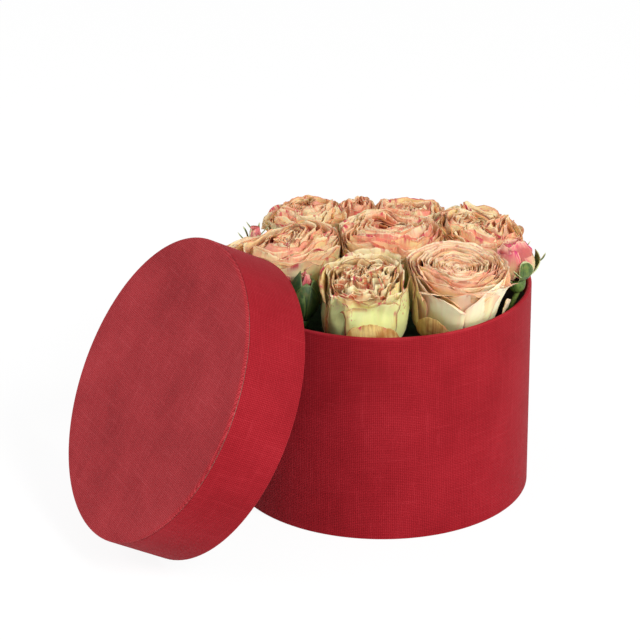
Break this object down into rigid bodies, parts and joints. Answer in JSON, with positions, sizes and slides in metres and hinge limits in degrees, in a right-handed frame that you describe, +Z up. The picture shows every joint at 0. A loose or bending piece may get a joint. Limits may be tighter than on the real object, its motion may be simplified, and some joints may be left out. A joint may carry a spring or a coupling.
{
  "type": "flower box",
  "caption": "Round cloth-covered gift box with its lid leaning beside it, holding a lift-out arrangement of cut roses and buds set in floral foam.",
  "frame": {"origin": "middle of the box's underside, where it stands", "axes": "+Z up; the lid leans at the -X side, turned a little toward -Y, which is the front"},
  "size_m": [0.2769, 0.2696, 0.1811],
  "materials": {
    "red_cloth": "matte",
    "greyboard": "matte",
    "lining_paper": "matte",
    "base_paper": "matte",
    "liner_film": "satin",
    "wet_foam": "matte",
    "green_stem": "satin",
    "green_sepal": "satin",
    "cream_petal": "satin",
    "rosy_petal": "satin"
  },
  "bodies": {
    "box": {"base_cover": "base_paper", "base_board": "greyboard", "wall_board": "greyboard", "wall_wrap": "red_cloth", "wall_lining": "lining_paper", "floor_lining": "lining_paper"},
    "lid": {"lid_board": "greyboard", "lid_rim_board": "greyboard", "lid_face_cover": "red_cloth", "lid_rim_wrap": "red_cloth", "lid_rim_lining": "lining_paper", "lid_ceiling_lining": "lining_paper"},
    "arrangement": {"liner": "liner_film", "floral_foam": "wet_foam", "rose_1_stem": "green_stem", "rose_1_calyx": "green_sepal", "rose_1_petals": "cream_petal", "rose_2_stem": "green_stem", "rose_2_calyx": "green_sepal", "rose_2_petals": "cream_petal", "rose_3_stem": "green_stem", "rose_3_calyx": "green_sepal", "rose_3_petals": "cream_petal", "rose_4_stem": "green_stem", "rose_4_calyx": "green_sepal", "rose_4_petals": "cream_petal", "rose_5_stem": "green_stem", "rose_5_calyx": "green_sepal", "rose_5_petals": "cream_petal", "rose_6_stem": "green_stem", "rose_6_calyx": "green_sepal", "rose_6_petals": "cream_petal", "rose_7_stem": "green_stem", "rose_7_calyx": "green_sepal", "rose_7_petals": "cream_petal", "rose_8_stem": "green_stem", "rose_8_calyx": "green_sepal", "rose_8_petals": "rosy_petal", "bud_1_stem": "green_stem", "bud_1_calyx": "green_sepal", "bud_1_petals": "rosy_petal", "bud_2_stem": "green_stem", "bud_2_calyx": "green_sepal", "bud_2_petals": "rosy_petal", "bud_3_stem": "green_stem", "bud_3_calyx": "green_sepal", "bud_3_petals": "rosy_petal"}
  },
  "joints": [
    {"name": "lid_pull", "type": "slide", "parent": "box", "child": "lid", "axis": [-0.8033, -0.3644, 0.471], "range_m": [0, 0.15]},
    {"name": "arrangement_lift", "type": "slide", "parent": "box", "child": "arrangement", "axis": [0, 0, 1], "range_m": [0, 0.15]}
  ]
}
